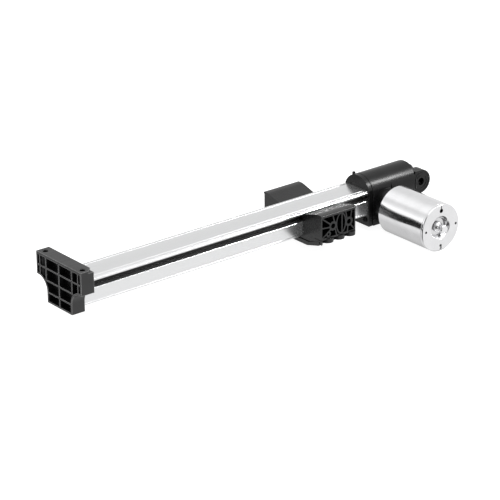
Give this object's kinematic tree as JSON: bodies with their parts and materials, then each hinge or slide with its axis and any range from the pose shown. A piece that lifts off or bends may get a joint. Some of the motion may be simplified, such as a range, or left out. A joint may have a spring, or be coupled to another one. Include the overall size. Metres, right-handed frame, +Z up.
{
  "type": "linear actuator",
  "caption": "Rail-type linear actuator: grooved aluminium rail, winged slider on a lead screw, ribbed front bracket, gearbox with fork and a cylindrical motor across the rail.",
  "frame": {"origin": "centre of the front bracket's top mounting face, midway between its two ears", "axes": "+X along the rail from the bracket to the rear fork, +Y away from the motor, +Z up out of the bracket's top face"},
  "size_m": [0.4565, 0.1523, 0.0634],
  "materials": {
    "rail_aluminium": "satin extruded",
    "glide_polymer": "satin",
    "bracket_plastic": "moulded satin",
    "bush_bronze": "sintered",
    "board_green": "solder mask",
    "switch_black": "moulded",
    "gearbox_plastic": "moulded satin",
    "screw_zinc": "zinc plated",
    "screw_black": "black oxide",
    "cover_plastic": "moulded satin",
    "bearing_steel": "ground",
    "motor_nickel": "bright nickel plated",
    "plate_steel": "pressed",
    "holder_plastic": "moulded",
    "brush_carbon": "sintered carbon",
    "magnet_ferrite": "sintered ferrite",
    "cap_chrome": "polished",
    "slider_plastic": "moulded satin",
    "nut_polymer": "moulded acetal",
    "screw_steel": "rolled thread",
    "gear_polymer": "moulded acetal",
    "shaft_steel": "ground",
    "copper": "turned copper",
    "armature_iron": "varnished laminations"
  },
  "bodies": {
    "frame": {"rail": "rail_aluminium", "glide_strip_left": "glide_polymer", "glide_strip_right": "glide_polymer", "front_bracket": "bracket_plastic", "front_bush": "bush_bronze", "switch_strip": "board_green", "limit_switch_front": "switch_black", "limit_switch_rear": "switch_black", "front_collar": "gearbox_plastic", "collar_screw_1": "screw_black", "collar_screw_2": "screw_black", "gear_housing": "gearbox_plastic", "worm_cover": "cover_plastic", "cover_screw_1": "screw_zinc", "cover_screw_2": "screw_zinc", "cover_screw_3": "screw_zinc", "cover_screw_4": "screw_zinc", "bearing_front": "bearing_steel", "bearing_rear": "bearing_steel", "worm_bush_end": "bush_bronze", "worm_bush_motor": "bush_bronze", "motor_can": "motor_nickel", "motor_plate": "plate_steel", "brush_holder": "holder_plastic", "brush_left": "brush_carbon", "brush_right": "brush_carbon", "magnet_left": "magnet_ferrite", "magnet_right": "magnet_ferrite", "rear_bearing_cap": "cap_chrome"},
    "slider": {"slider_block": "slider_plastic", "drive_nut": "nut_polymer", "nut_screw_1": "screw_zinc", "nut_screw_2": "screw_zinc"},
    "spindle": {"lead_screw": "screw_steel", "worm_wheel": "gear_polymer"},
    "rotor": {"worm_shaft": "shaft_steel", "commutator": "copper", "armature": "armature_iron"}
  },
  "joints": [
    {"name": "rotor_spin", "type": "hinge", "parent": "frame", "child": "rotor", "pos_m": [0.3885, 0, -0.0384], "axis": [0, 1, 0], "range_deg": [-216000, 27000]},
    {"name": "spindle_spin", "type": "hinge", "parent": "frame", "child": "spindle", "pos_m": [0.3885, 0, -0.0249], "axis": [1, 0, 0], "range_deg": [-1351, 10801]},
    {"name": "slider_travel", "type": "slide", "parent": "frame", "child": "slider", "axis": [1, 0, 0], "range_m": [-0.2401, 0.0301]}
  ],
  "couplings": [
    {"joint": "spindle_spin", "follows": "rotor_spin", "ratio": -0.05},
    {"joint": "slider_travel", "follows": "rotor_spin", "m_per_rad": 0.000063662}
  ]
}
